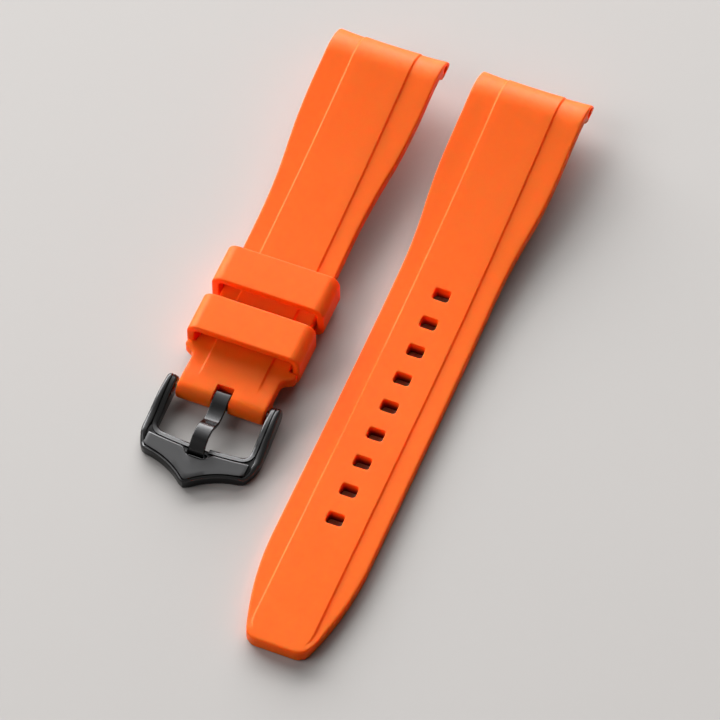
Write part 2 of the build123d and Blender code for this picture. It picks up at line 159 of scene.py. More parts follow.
for name, sizes in BOXES.items():
    around = math.radians(sizes["around"])
    up = math.radians(sizes["up"])
    level = to_right * math.cos(around) + to_back * math.sin(around)
    towards = level * math.cos(up) + Vector((0, 0, math.sin(up)))
    box = bpy.data.objects.new(name, bpy.data.lights.new(name, "AREA"))
    bpy.context.collection.objects.link(box)
    box.data.shape = "RECTANGLE"
    box.data.size = sizes["wide"]
    box.data.size_y = sizes["high"]
    box.data.energy = sizes["power"]
    box.location = towards * BOX_DISTANCE
    box.rotation_euler = towards.to_track_quat("Z", "Y").to_euler()

# The camera: a long lens above the near right-hand side, at the height and distance that were fitted
# to the long edges and the holes in the photograph.
LENS = 236.8
SENSOR = 36.0
DISTANCE = 782.8 * MM
AIM = Vector((4.62, -1.72, 0)) * MM

camera = bpy.data.objects.new("camera", bpy.data.cameras.new("camera"))
bpy.context.collection.objects.link(camera)
camera.data.lens = LENS
camera.data.sensor_width = SENSOR
back = (to_back * -math.cos(ELEVATION) + Vector((0, 0, math.sin(ELEVATION)))).normalized()
camera.location = AIM + back * DISTANCE
camera.rotation_euler = (-back).to_track_quat("-Z", "Y").to_euler()
bpy.context.scene.camera = camera
bpy.context.scene.view_settings.view_transform = "Standard"

# Both rubber halves, each one moulding of orange rubber with a fine matt skin. A half is a sheet of
# cross rows, and a point of its side view is a complex number, inset + height * 1j, with the inset
# from its lug end, in millimetres. The bores and the tongue's slot are cut last.
PANEL_HALF = 5.15
PANEL_STEP = 0.3
PANEL_STEP_WIDTH = 0.44
THICKNESS = 2.5
EDGE_ROUND = 0.32
EDGE_SEGMENTS = 4
EDGE_ANGLE = math.radians(50)
HOLE_HALF = 1.42
INNER_COLUMNS = (HOLE_HALF, 3.2, PANEL_HALF - PANEL_STEP_WIDTH / 2)
STEP_COLUMNS = 5
WING_COLUMNS = 3
COLUMNS = len(INNER_COLUMNS) + STEP_COLUMNS + WING_COLUMNS
LUG_HALF = 10.0
BOW_INSET = 70.0
CREST = 7.5 + 7.7j
SHOULDER = 1.4 + 6.2j
LIP = 0.05 + 4.35j
END_FOOT = 0.05 + 4.0j
BEAD_FOOT = 0.5 + 3.5j
BEAD_BACK = 2.9 + 3.5j
NOTCH_TOP = 5.3 + 5.2j
LUG_ROWS = 26
END_HOLLOW = 0.5
HOLLOW_FADE = 8.0
LUG_BORE = 2.3 + 5.0j
LUG_BORE_RADIUS = 0.9
BORE_SIDES = 48
MERGE_DISTANCE = 0.002
ARC_POINTS = 12
STRAIGHT = 1e-6


def arc(start, heading, end, count=ARC_POINTS):
    """Points after start on the arc that leaves it along heading, and the heading at its end."""
    chord = end - start
    half_turn = cmath.phase(chord / heading)
    if abs(half_turn) < STRAIGHT:
        return [start + chord * (step + 1) / count for step in range(count)], heading
    points = []
    for step in range(1, count + 1):
        turned = half_turn * step / count
        length = abs(chord) * math.sin(turned) / math.sin(half_turn)
        points.append(start + heading * length * cmath.exp(1j * turned))
    return points, heading * cmath.exp(2j * half_turn)


def s_curve(start, heading, end):
    """Points after start on two arcs that reach end along the same heading."""
    first, turned = arc(start, heading, (start + end) / 2)
    second, turned = arc(first[-1], turned, end)
    return first + second


def spaced(points, count):
    """That many points, evenly spaced along a line of points."""
    lengths = [0.0]
    for before, after in zip(points, points[1:]):
        lengths.append(lengths[-1] + abs(after - before))
    places = [lengths[-1] * step / (count - 1) for step in range(count)]
    reals = numpy.interp(places, lengths, [point.real for point in points])
    heights = numpy.interp(places, lengths, [point.imag for point in points])
    return [complex(real, height) for real, height in zip(reals, heights)]


def height_at(place, line):
    """Height of a line of points at this place along it."""
    return float(numpy.interp(place, [point.real for point in line], [point.imag for point in line]))


def held(share):
    """The share, held between 0 and 1."""
    return max(0.0, min(1.0, share))


def eased(share):
    """The share, held between 0 and 1, with a soft start and end."""
    return held(share) ** 2 * (3 - 2 * held(share))


def bow(inset):
    """How far the bow lifts the strap at this distance from the lug end."""
    span = BOW_INSET - CREST.real
    rise = CREST.imag - THICKNESS
    radius = (span ** 2 + rise ** 2) / (2 * rise)
    return radius - math.sqrt(radius ** 2 - max(0, BOW_INSET - inset) ** 2)


def lug_rows():
    """Side view of the lug end, row by row from the lip to the crest: (top, underside)."""
    span = BOW_INSET - CREST.real
    rise = CREST.imag - THICKNESS
    bow_heading = cmath.exp(2j * cmath.phase(complex(span, rise)))
    over, heading = arc(CREST, -bow_heading.conjugate(), SHOULDER)
    over += arc(SHOULDER, heading, LIP)[0]
    under = [END_FOOT] + arc(END_FOOT, -1j, BEAD_FOOT)[0] + s_curve(BEAD_BACK, 1, NOTCH_TOP)
    under.append(CREST - 1j * THICKNESS)
    return list(zip(spaced([CREST] + over, LUG_ROWS)[::-1], spaced(under, LUG_ROWS)))


def waist(inset, start, end, narrow):
    """Half-width where the strap narrows from the lugs, in two arcs, to its own width."""
    if inset <= start or inset >= end:
        return LUG_HALF if inset <= start else narrow
    return height_at(inset, s_curve(complex(start, LUG_HALF), 1, complex(end, narrow)))


Row = namedtuple("Row", "top under half panel step side")


def placed(row, column, on_top, centre, lug_end):
    """Where a vertex of a strap's sheet goes: column counts from the left edge to the right edge."""
    side = 1 if column >= COLUMNS else -1
    place = column - COLUMNS if side > 0 else COLUMNS - 1 - column
    inner = len(INNER_COLUMNS)
    share = held((place - inner + 1) / STEP_COLUMNS)
    across = row.panel + PANEL_STEP_WIDTH * (share - 0.5)
    if place < inner:
        across = INNER_COLUMNS[place] * across / INNER_COLUMNS[-1]
    if place >= inner + STEP_COLUMNS:
        across += (row.half - across) * (place - inner - STEP_COLUMNS + 1) / WING_COLUMNS
    point = row.top if on_top else row.under
    drop = row.step * eased(share) if on_top else 0
    inset = point.real
    if row.side is not None:
        aside = max(0.0, across - row.panel) / (row.half - row.panel)
        inset += (row.side - point.real) * aside ** 2
    hollow_radius = (LUG_HALF ** 2 + END_HOLLOW ** 2) / (2 * END_HOLLOW)
    hollow = math.sqrt(hollow_radius ** 2 - across ** 2) - hollow_radius + END_HOLLOW
    inset += hollow * max(0.0, 1 - inset / HOLLOW_FADE) ** 2
    return Vector((centre + side * across, lug_end - inset, point.imag - drop)) * MM


def sheet(rows, columns, place):
    """A closed sheet: a grid for its underside, extruded into top and walls, each vertex then placed."""
    shape = bmesh.new()
    bmesh.ops.create_grid(shape, x_segments=columns - 1, y_segments=rows - 1, size=0.5)
    made = bmesh.ops.extrude_face_region(shape, geom=shape.faces[:], use_keep_orig=True)
    top = {item for item in made["geom"] if isinstance(item, bmesh.types.BMVert)}
    for vertex in shape.verts:
        column = round((vertex.co.x + 0.5) * (columns - 1))
        row = round((vertex.co.y + 0.5) * (rows - 1))
        vertex.co = place(row, column, vertex in top)
    bmesh.ops.remove_doubles(shape, verts=shape.verts[:], dist=MERGE_DISTANCE * MM)
    bmesh.ops.recalc_face_normals(shape, faces=shape.faces[:])
    return shape


def strap_shape(rows, centre, lug_end):
    """One half of the strap, its long edges rounded."""
    shape = sheet(len(rows), 2 * COLUMNS,
                  lambda row, column, on_top: placed(rows[row], column, on_top, centre, lug_end))
    round_off(shape, EDGE_ROUND, EDGE_SEGMENTS)
    return shape


def round_off(shape, radius, segments):
    """Rounds every edge that is still sharp."""
    sharp = [edge for edge in shape.edges if edge.calc_face_angle(0) > EDGE_ANGLE]
    bmesh.ops.bevel(shape, geom=sharp, affect="EDGES", offset=radius * MM, segments=segments,
                    profile=0.5, material=-1)


def finished(shape, name, finish, body, slot, *stands_for, sharp=EDGE_ANGLE):
    """The shape as a smooth piece that rides on its body and takes the place of CAD nodes."""
    mesh = bpy.data.meshes.new(name)
    shape.to_mesh(mesh)
    shape.free()
    mesh.materials.append(finish)
    mesh.shade_smooth()
    mesh.set_sharp_from_angle(angle=sharp)
    piece = bpy.data.objects.new(name, mesh)
    bpy.context.collection.objects.link(piece)
    weighted = piece.modifiers.new("weighted_normals", "WEIGHTED_NORMAL")
    weighted.keep_sharp = True
    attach(piece, body)
    if stands_for:
        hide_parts(*stands_for)
    return piece


def cut_away(shape, cutters):
    """The shape less the cutters, as a new shape. Both are closed."""
    solids = []
    for name, solid in (("to_cut", shape), ("cutters", cutters)):
        mesh = bpy.data.meshes.new(name)
        solid.to_mesh(mesh)
        solid.free()
        solids.append(bpy.data.objects.new(name, mesh))
        bpy.context.collection.objects.link(solids[-1])
    cut = solids[0].modifiers.new("cut", "BOOLEAN")
    cut.operation = "DIFFERENCE"
    cut.solver = "EXACT"
    cut.object = solids[1]
    bpy.context.view_layer.update()
    result = bmesh.new()
    result.from_object(solids[0], bpy.context.evaluated_depsgraph_get())
    for solid in solids:
        bpy.data.objects.remove(solid)
    return result


def across_cutter(shape, centre, lug_end, point, radius, length=3 * LUG_HALF):
    """Adds a round bar across the strap to a shape of cutters."""
    place = Matrix.Translation(Vector((centre, lug_end - point.real, point.imag)) * MM)
    bmesh.ops.create_cone(shape, cap_ends=True, segments=BORE_SIDES, radius1=radius * MM,
                          radius2=radius * MM, depth=length * MM,
                          matrix=place @ Matrix.Rotation(math.pi / 2, 4, "Y"))


RUBBER_DARK = (1.0, 0.125, 0.003, 1)
RUBBER_LIGHT = (1.0, 0.142, 0.006, 1)
RUBBER_DEPTH = 2.2
RUBBER_GLOW = (1.0, 0.05, 0.02)
RUBBER_ROUGHNESS = 0.36
RUBBER_SHEEN = 0.12
MOTTLE_SCALE = 90.0
MOTTLE_DULLS = 0.12
GRAIN_SCALE = 9000.0
GRAIN_DULLS = 0.1
GRAIN_SHARE = 0.4
GRAIN_DEPTH = 0.03
# Painted shade for the tongue holes: their walls are painted darker towards the table, between these
# heights.
HOLE_PAINTED_SHADE = (0.08, 0.002, 0.001, 1)
HOLE_PAINTED_SHADE_FROM = 0.4
HOLE_PAINTED_SHADE_TO = 2.5


def rubber_material(name, painted_shade=0.0):
    """Orange rubber: a matt skin with a fine moulded grain, and faint mottling in colour and gloss.
    With painted shade set, it is painted darker towards the table, as shade in the holes."""
    made = material(name)
    tree = made.node_tree
    place = node(tree, "ShaderNodeTexCoord", output="Object")
    mottle = node(tree, "ShaderNodeTexNoise", values={
        "Vector": place, "Scale": MOTTLE_SCALE, "Detail": 3.0})
    grain = node(tree, "ShaderNodeTexNoise", values={
        "Vector": place, "Scale": GRAIN_SCALE, "Detail": 2.0})
    colour = node(tree, "ShaderNodeMix", {"data_type": "RGBA"}, {
        "Factor": mottle, "A": RUBBER_DARK, "B": RUBBER_LIGHT}, output=2)
    height = node(tree, "ShaderNodeSeparateXYZ", values={0: place}, output="Z")
    # Painted shade: darker towards the table, by height, as strongly as the last argument asks.
    depth = node(tree, "ShaderNodeMapRange", {"interpolation_type": "SMOOTHSTEP"}, {
        "Value": height, "From Min": HOLE_PAINTED_SHADE_FROM * MM, "From Max": HOLE_PAINTED_SHADE_TO * MM,
        "To Min": painted_shade, "To Max": 0.0})
    colour = node(tree, "ShaderNodeMix", {"data_type": "RGBA"}, {
        "Factor": depth, "A": colour, "B": HOLE_PAINTED_SHADE}, output=2)
    bump = node(tree, "ShaderNodeBump", values={
        "Height": grain * GRAIN_SHARE + mottle, "Strength": 0.5, "Distance": GRAIN_DEPTH * MM})
    shader = node(tree, "ShaderNodeBsdfPrincipled", {"subsurface_method": "BURLEY"}, {
        "Base Color": colour, "Normal": bump, "Specular IOR Level": RUBBER_SHEEN,
        "Roughness": mottle * MOTTLE_DULLS + grain * GRAIN_DULLS + RUBBER_ROUGHNESS,
        "Subsurface Weight": 1.0, "Subsurface Radius": RUBBER_GLOW,
        "Subsurface Scale": RUBBER_DEPTH * MM})
    return finish_material(made, shader)


rubber = rubber_material("strap_rubber")

# The long half: a rubber moulding that lies flat on the table from its bow on. It has nine
# round-cornered holes for the tongue, a tapered tip, and a bore through its lug end.
TAIL_X = 13.15
TAIL_Y = 59.2
TAIL_HALF = 8.45
TAIL_WAIST = (17.0, 43.5)
TAIL_LENGTH = 118.4
TAPER_START = 98.7
TIP_HALF = 4.9
TIP_ROUND = 2.3
TIP_WING = 0.9
TIP_ROWS = 13
TIP_ENDS = (116.4, 116.85, 117.35, 118.4)
TAIL_BOW_ROWS = 22
HOLES = 9
HOLE_PITCH = 5.87
FIRST_HOLE = 45.8
HOLE_HALF_LENGTH = 1.125
HOLE_CORNER = 0.5
HOLE_CORNER_SEGMENTS = 4
HOLE_RIM = 0.15
HOLE_RIM_SEGMENTS = 2
STEEP = 0.9


def tail_insets():
    """Insets of the rows between the crest and the taper: one on each edge of every hole."""
    before = numpy.linspace(CREST.real, FIRST_HOLE - HOLE_HALF_LENGTH, TAIL_BOW_ROWS)[1:]
    insets = [float(inset) for inset in before]
    for number in range(HOLES):
        hole = FIRST_HOLE + number * HOLE_PITCH
        insets += [hole + HOLE_HALF_LENGTH, hole + HOLE_PITCH / 2, hole + HOLE_PITCH - HOLE_HALF_LENGTH]
    return insets[:-2] + [TAPER_START - HOLE_PITCH / 2, TAPER_START]


def tip_rows():
    """Rows of the tip: along a wide arc, then bent round the first half of the corner it runs into."""
    run = TAIL_LENGTH - TAPER_START
    fall = TAIL_HALF - TIP_HALF
    radius = (run ** 2 + fall ** 2) / (2 * fall)
    corner = TAIL_LENGTH - TIP_ROUND
    reach = corner - TAPER_START
    inside = math.sqrt((radius - TIP_ROUND) ** 2 - reach ** 2)
    meet = math.atan2(reach, inside)
    rows = []
    for step in range(1, TIP_ROWS):
        angle = meet * step / TIP_ROWS
        inset = TAPER_START + radius * math.sin(angle)
        half = TAIL_HALF - radius + radius * math.cos(angle)
        fade = held(half - PANEL_HALF)
        panel = min(PANEL_HALF, half - TIP_WING)
        rows.append(Row(inset + 1j * THICKNESS, complex(inset), half, panel, PANEL_STEP * fade, None))
    for step, end in enumerate(TIP_ENDS):
        angle = meet + (math.pi / 4 - meet) * step / (len(TIP_ENDS) - 1)
        half = TAIL_HALF - radius + inside + TIP_ROUND * math.cos(angle)
        wing = TIP_WING + (TIP_ROUND * math.sin(math.pi / 4) - TIP_WING) * step / (len(TIP_ENDS) - 1)
        rows.append(Row(end + 1j * THICKNESS, complex(end), half, half - wing, 0,
                        corner + TIP_ROUND * math.sin(angle)))
    return rows


def tail_rows():
    """All rows of the long half, from its lug end to its tip."""
    rows = [Row(top, under, LUG_HALF, PANEL_HALF, PANEL_STEP, None) for top, under in lug_rows()]
    for inset in tail_insets():
        top = complex(inset, THICKNESS + bow(inset))
        rows.append(Row(top, top - 1j * THICKNESS, waist(inset, *TAIL_WAIST, TAIL_HALF), PANEL_HALF,
                        PANEL_STEP, None))
    return rows + tip_rows()


def open_hole(shape, inset):
    """Opens the hole's cell in the top and the underside and joins them with a round-cornered wall."""
    spot = Vector((TAIL_X, TAIL_Y - inset)) * MM
    cells = [face for face in shape.faces if abs(face.normal.z) > STEEP
             and (face.calc_center_median().xy - spot).length < HOLE_CORNER * MM]
    rims = {edge for face in cells for edge in face.edges}
    bmesh.ops.delete(shape, geom=cells, context="FACES")
    made = bmesh.ops.bridge_loops(shape, edges=list(rims))
    upright = [edge for edge in made["edges"] if edge not in rims]
    bmesh.ops.bevel(shape, geom=upright, affect="EDGES", offset=HOLE_CORNER * MM,
                    segments=HOLE_CORNER_SEGMENTS, profile=0.5, material=-1)


def mark_hole_walls(shape):
    """Gives the walls of the holes the piece's second material, rubber painted with shade towards the
    table.
    """
    for face in shape.faces:
        spot = face.calc_center_median() / MM
        among_holes = FIRST_HOLE - HOLE_PITCH < TAIL_Y - spot.y < TAPER_START
        in_line = abs(spot.x - TAIL_X) < HOLE_HALF + HOLE_RIM
        if among_holes and in_line and abs(face.normal.z) < STEEP:
            face.material_index = 1


tail = strap_shape(tail_rows(), TAIL_X, TAIL_Y)
for number in range(HOLES):
    open_hole(tail, FIRST_HOLE + number * HOLE_PITCH)
round_off(tail, HOLE_RIM, HOLE_RIM_SEGMENTS)
mark_hole_walls(tail)
cutters = bmesh.new()
across_cutter(cutters, TAIL_X, TAIL_Y, LUG_BORE, LUG_BORE_RADIUS)
tail = cut_away(tail, cutters)
tail_piece = finished(tail, "tail_half_rubber", rubber, "tail_half", "strap_rubber", "tail_side_strap")
# The holes' walls get rubber with painted shade, darker towards their foot.
tail_piece.data.materials.append(rubber_material("strap_rubber_painted_hole_shade", painted_shade=1.0))

# The short half, of the same rubber: ears that stop the keepers, and a round end, slotted for the
# tongue, that holds the spring bar. It lies on the lower runs of the two keepers.
SHORT_X = -12.65
SHORT_Y = 57.65
SEAT = 1.5
SHORT_HALF = 8.3
SHORT_WAIST = (12.6, 41.5)
SHORT_BOW_ROWS = 30
EAR_INSET = 68.2
EAR_LEAD = 0.8
EAR_TOP_LEAD = 0.5
EAR_TOP_PITCH = 0.32
END_HALF = 7.8
BAR = 76.6 + 2.15j
BAR_HOLE = 0.78
BEAD_RADIUS = 1.85
BEAD_RUN = 4.2
BEAD_ROWS = 8
FALL_STRIDE = 3
FADE_START = 71.6
FADE_END = 75.1
SLOT_HALF = 1.55
SLOT_BACK = 74.95
SLOT_CORNER = 0.3
SLOT_CORNER_SEGMENTS = 4
SLOT_HEIGHT = 20.0
EAR_PLAN = ((68.0, 8.3), (68.2, 8.45), (68.2, 9.3), (68.35, 9.65), (68.7, 9.8), (69.1, 9.78),
            (69.4, 9.6), (69.65, 9.25), (70.05, 8.45), (70.5, 7.98), (71.2, 7.8))


def short_top(inset):
    """Point of the short half's top in the side view."""
    return complex(inset, SEAT + THICKNESS + bow(inset))


def short_rows():
    """All rows of the short half: lug end, bow, ears, and the round end that holds the spring bar."""
    rows = [Row(top + 1j * SEAT, under + 1j * SEAT, LUG_HALF, PANEL_HALF, PANEL_STEP, None)
            for top, under in lug_rows()]
    for inset in numpy.linspace(CREST.real, EAR_INSET - EAR_LEAD, SHORT_BOW_ROWS)[1:]:
        top = short_top(float(inset))
        rows.append(Row(top, top - 1j * THICKNESS, waist(inset, *SHORT_WAIST, SHORT_HALF), PANEL_HALF,
                        PANEL_STEP, None))
    for count, (side, half) in enumerate(EAR_PLAN):
        top = short_top(EAR_INSET - EAR_TOP_LEAD + EAR_TOP_PITCH * count)
        rows.append(Row(top, top - 1j * THICKNESS, half, PANEL_HALF, PANEL_STEP, side))
    foot = complex(BAR.real, BAR.imag - BEAD_RADIUS)
    fall = s_curve(foot, -1, complex(BAR.real - BEAD_RUN, SEAT))[::-1]
    for under in fall[::FALL_STRIDE]:
        step = PANEL_STEP * eased((FADE_END - under.real) / (FADE_END - FADE_START))
        rows.append(Row(short_top(under.real), under, END_HALF, PANEL_HALF, step, None))
    for step in range(BEAD_ROWS):
        turned = cmath.exp(1j * math.pi / 2 * (1 - step / (BEAD_ROWS - 1))) * BEAD_RADIUS
        rows.append(Row(BAR + turned, BAR + turned.conjugate(), END_HALF, PANEL_HALF, 0, None))
    return rows


cutters = bmesh.new()
across_cutter(cutters, SHORT_X, SHORT_Y, LUG_BORE + 1j * SEAT, LUG_BORE_RADIUS)
across_cutter(cutters, SHORT_X, SHORT_Y, BAR, BAR_HOLE)
short = cut_away(strap_shape(short_rows(), SHORT_X, SHORT_Y), cutters)
slot = bmesh.new()
bmesh.ops.create_cube(slot, size=1)
slot_length = 2 * (BAR.real + BEAD_RADIUS - SLOT_BACK)
bmesh.ops.scale(slot, vec=Vector((2 * SLOT_HALF, slot_length, SLOT_HEIGHT)) * MM, verts=slot.verts[:])
bmesh.ops.translate(slot, vec=Vector((SHORT_X, SHORT_Y - SLOT_BACK - slot_length / 2, 0)) * MM,
                    verts=slot.verts[:])
upright = [edge for edge in slot.edges if edge.verts[0].co.z * edge.verts[1].co.z < 0]
bmesh.ops.bevel(slot, geom=upright, affect="EDGES", offset=SLOT_CORNER * MM,
                segments=SLOT_CORNER_SEGMENTS, profile=0.5, material=-1)
short = cut_away(short, slot)
finished(short, "short_half_rubber", rubber, "buckle_half", "strap_rubber", "buckle_side_strap")

# The two keepers: loose flat loops of the same rubber, moulded in one piece each. They hold the long
# half's end down on the wrist, and slide on the short half, which passes through them.
KEEPER_WIDTH = 20.1
KEEPER_HEIGHT = 7.2
KEEPER_WALL = 1.3
KEEPER_BAND = 7.4
KEEPER_CORNER = 2.0
KEEPER_INNER_CORNER = 0.8
KEEPER_CORNER_SEGMENTS = 8
KEEPER_RIM = 0.25
KEEPER_RIM_SEGMENTS = 3
LOWER_KEEPER_Y = -10.35
KEEPER_SPACING = 10.5


def keeper_outline(shape, width, height, corner):
    """Edges of a round-cornered rectangle in the XZ plane, standing on the keeper's floor."""
    turned = Matrix.Translation(Vector((SHORT_X, 0, KEEPER_HEIGHT / 2)) * MM)
    made = bmesh.ops.create_grid(shape, x_segments=1, y_segments=1, size=0.5)
    bmesh.ops.scale(shape, vec=Vector((width, height, 1)) * MM, verts=made["verts"])
    rounded = bmesh.ops.bevel(shape, geom=made["verts"], affect="VERTICES", offset=corner * MM,
                              segments=KEEPER_CORNER_SEGMENTS, profile=0.5, material=-1)
    corners = rounded["verts"]
    bmesh.ops.transform(shape, matrix=turned @ Matrix.Rotation(math.pi / 2, 4, "X"), verts=corners)
    edges = [edge for edge in shape.edges if edge.verts[0] in corners]
    bmesh.ops.delete(shape, geom=[face for face in shape.faces if face.verts[0] in corners],
                     context="FACES_ONLY")
    return edges


def keeper(front):
    """One loop: the ring between two outlines, drawn out to the band's width and its rims rounded."""
    shape = bmesh.new()
    outer = keeper_outline(shape, KEEPER_WIDTH, KEEPER_HEIGHT, KEEPER_CORNER)
    inner = keeper_outline(shape, KEEPER_WIDTH - 2 * KEEPER_WALL, KEEPER_HEIGHT - 2 * KEEPER_WALL,
                           KEEPER_INNER_CORNER)
    ring = bmesh.ops.bridge_loops(shape, edges=outer + inner)["faces"]
    bmesh.ops.translate(shape, vec=Vector((0, front, 0)) * MM, verts=shape.verts[:])
    made = bmesh.ops.extrude_face_region(shape, geom=ring, use_keep_orig=True)
    far = [item for item in made["geom"] if isinstance(item, bmesh.types.BMVert)]
    bmesh.ops.translate(shape, vec=Vector((0, KEEPER_BAND, 0)) * MM, verts=far)
    bmesh.ops.recalc_face_normals(shape, faces=shape.faces[:])
    round_off(shape, KEEPER_RIM, KEEPER_RIM_SEGMENTS)
    return shape


for name, front in (("lower_keeper", LOWER_KEEPER_Y), ("upper_keeper", LOWER_KEEPER_Y + KEEPER_SPACING)):
    finished(keeper(front), name + "_rubber", rubber, name, "strap_rubber", name)

# The buckle's frame: one steel casting, coated satin black. A band of cross sections runs from one
# arm's end round the window to the other's, and a shield-shaped plate lies in its front. Points of
# its plan are complex numbers, x + y * 1j from the spring bar, in millimetres.
COATING_DARK = (0.044, 0.044, 0.045, 1)
COATING_LIGHT = (0.051, 0.051, 0.052, 1)
COATING_ROUGHNESS = 0.2
LEVEL_FROM = 0.9
LEVEL_TO = 0.99
LEVEL_DULLS = 0.17
BRUSHING = (300.0, 14000.0, 3000.0)
BRUSHING_DEPTH = 0.01
BRUSHING_DULLS = 0.06
BRUSHING_LIGHT = 0.6
BRUSHING_CONTRAST = 0.5
FACET_ANGLE = math.radians(40)
WINDOW_FRONT = -9.3j
WINDOW_CORNER = (7.03 - 8.86j, 8.2 - 7.62j)
WINDOW_STATIONS = (0, 0.8, 1.45, 1.75, 2.2, 3.0, 4.0, 5.0, 6.0, 7.03)
WINDOW_POINTS = 40
POINT_START = -17.01j
POINT_END = 0.77 - 16.71j
CHEEK = (8.22 - 13.24j, 9.33 - 12.5j, 10.5 - 9.1j)
HOLLOW_POINTS = 30
FRONT_POINTS = 200
ARM_START = 10.48 - 8j
ARM_TAPER = 0.7
ARM_TAPER_RUN = 13.65
CORNER_STATIONS = 9
ARM_STATIONS = 9
END_STATIONS = 7
ARM_END = 1.65
ARM_FRONT = -10.0
FRONT_TOP = 2.0
BAR_HEIGHT = 2.15
RIM_WIDTH = 0.94
FRONT_WIDER = 0.2
FRONT_TILT = 0.32
ARM_TILT = 0.28
RIDGE_START = 9.27
RIDGE_FALL = 0.5
RIDGE_FALL_RUN = 1 / 1.6
FRONT_BAND = 0.5
TONGUE_REST = 0.75
TONGUE_REST_HALF = 1.5
RIM_PROFILE = ((0, 0.5), (0.04, 0.2), (0.1, 0.06), (0.17, 0), (0.5, 0), (0.86, 0), (RIM_WIDTH, 0.35))
RIDGE_PROFILE = ((-0.07, 0.4), (0, 0.1), (0.22, 0), (0.5, 0.03), (0.75, 0.14), (0.92, 0.34), (1, 0.6))
UNDER_RISE = (0.3, 0.14, 0.03, 0, 0, 0, 0, 0, 0, 0, 0, 0.02, 0.12, 0.35)
PIN_HOLE = 0.45
PIN_HOLES_LENGTH = 19.2


def normals(line):
    """Unit vectors across a line of points, to its right."""
    ahead = line[1:] + [2 * line[-1] - line[-2]]
    behind = [2 * line[0] - line[1]] + line[:-1]
    return [-1j * (after - before) / abs(after - before) for before, after in zip(behind, ahead)]


def frame_stations():
    """Points on the window's edge, and on the outline abreast of them, from mid-front to the bar."""
    corner_start, corner_end = WINDOW_CORNER
    front, heading = arc(WINDOW_FRONT, 1, corner_start, WINDOW_POINTS)
    rim = [complex(x, height_at(x, front)) for x in WINDOW_STATIONS]
    rim += spaced([corner_start] + arc(corner_start, heading, corner_end)[0], CORNER_STATIONS)[1:]
    arm = [corner_end * (1 - step / ARM_STATIONS) + corner_end.real * step / ARM_STATIONS
           for step in range(1, ARM_STATIONS + 1)]
    point, heading = arc(POINT_START, 1, POINT_END)
    hollow, heading = arc(POINT_END, heading, CHEEK[0], HOLLOW_POINTS)
    cheek, heading = arc(CHEEK[0], heading, CHEEK[1])
    side = arc(CHEEK[1], heading, CHEEK[2])[0]
    front = spaced([POINT_START] + point + hollow, FRONT_POINTS)
    outline = [front[round((FRONT_POINTS - 1) * x / WINDOW_STATIONS[-1])] for x in WINDOW_STATIONS]
    outline += spaced([CHEEK[0]] + cheek + side + [ARM_START], CORNER_STATIONS)[1:]
    for place in arm:
        taper = ARM_TAPER * ((place.imag - ARM_FRONT) / ARM_TAPER_RUN) ** 2
        outline.append(complex(ARM_START.real - taper, place.imag))
    return rim + arm, outline


def side_view(y):
    """Heights of the frame's top and underside at this distance from the bar."""
    share = height_at(-y, [1j] + s_curve(1j, 1, complex(-ARM_FRONT)))
    top = FRONT_TOP + (BAR_HEIGHT + ARM_END - FRONT_TOP) * share
    return top, (BAR_HEIGHT - ARM_END) * share


def frame_section(number, rim, outline, rim_normals, outline_normals):
    """Plan point and drop of each column of one cross section, from the window out."""
    inner = rim[number]
    outer = outline[number]
    corner_start = len(WINDOW_STATIONS) - 1
    arm_start = corner_start + CORNER_STATIONS - 1
    corner = held((number - corner_start) / (CORNER_STATIONS - 1))
    ridge = FRONT_BAND + (outline[arm_start].real - RIDGE_START - FRONT_BAND) * corner
    if number >= arm_start:
        ridge = outer.real - RIDGE_START
    fall = RIDGE_FALL * math.sin(math.pi * held(corner / RIDGE_FALL_RUN))
    rest = TONGUE_REST if inner.real < TONGUE_REST_HALF else 0
    tilt = ARM_TILT + (FRONT_TILT - ARM_TILT) * (1 - corner)
    wider = 1 + FRONT_WIDER * (1 - corner)
    section = [(inner + rim_normals[number] * out * wider, drop + rest + tilt * (RIM_WIDTH - out))
               for out, drop in RIM_PROFILE]
    for share, drop in RIDGE_PROFILE:
        section.append((outer - outline_normals[number] * ridge * (1 - share), drop + fall))
    return section


def frame_band():
    """The frame without its plate: one sheet of cross sections, with the two pin holes cut."""
    rim, outline = frame_stations()
    lines = (rim, outline, normals(rim), normals(outline))
    last = len(rim) - 1
    rows = 2 * (last + END_STATIONS - 1) + 1

    def place(row, column, on_top):
        number = abs(row - (rows - 1) // 2)
        side = 1 if row >= (rows - 1) // 2 else -1
        plan, drop = frame_section(min(number, last), *lines)[column]
        rise = UNDER_RISE[column]
        if number <= last:
            top, under = side_view(plan.imag)
            spot = complex(plan.imag, top - drop if on_top else under + rise)
        else:
            share = (number - last) / (END_STATIONS - 1)
            up = math.cos(math.pi / 2 * share)
            if not on_top:
                drop = rise * up + drop * (1 - up)
            turned = cmath.exp(1j * math.pi / 2 * (1 - share)) * (ARM_END - drop)
            spot = BAR_HEIGHT * 1j + (turned if on_top else turned.conjugate())
        return Vector((SHORT_X + side * plan.real, SHORT_Y - BAR.real + spot.real, spot.imag)) * MM

    shape = sheet(rows, len(UNDER_RISE), place)
    cutters = bmesh.new()
    across_cutter(cutters, SHORT_X, SHORT_Y, BAR.real + 1j * BAR_HEIGHT, PIN_HOLE, PIN_HOLES_LENGTH)
    return cut_away(shape, cutters)


PLATE_COLUMNS = (0, 0.35, 0.7, 1.05, 1.4, 1.75, 2.1, 2.5, 3.0, 3.7, 4.5, 5.4, 6.3, 7.2, 8.2, 8.85)
PLATE_EDGE = ((0, 0.1), (0.3, 0.005), (0.33, 0))
PLATE_ROWS = (0.35, 0.7, 1)
PLATE_TOP = 2.2
PLATE_FOOT = 1.2
PLATE_BACK = -10.55
PLATE_BACK_BOW = 0.0075
PLATE_RECESS = 1.3
PLATE_RECESS_HALF = (1.2, 2.8)
PLATE_INSET = 0.5
PLATE_ROUND = 0.08
PLATE_ROUND_SEGMENTS = 2


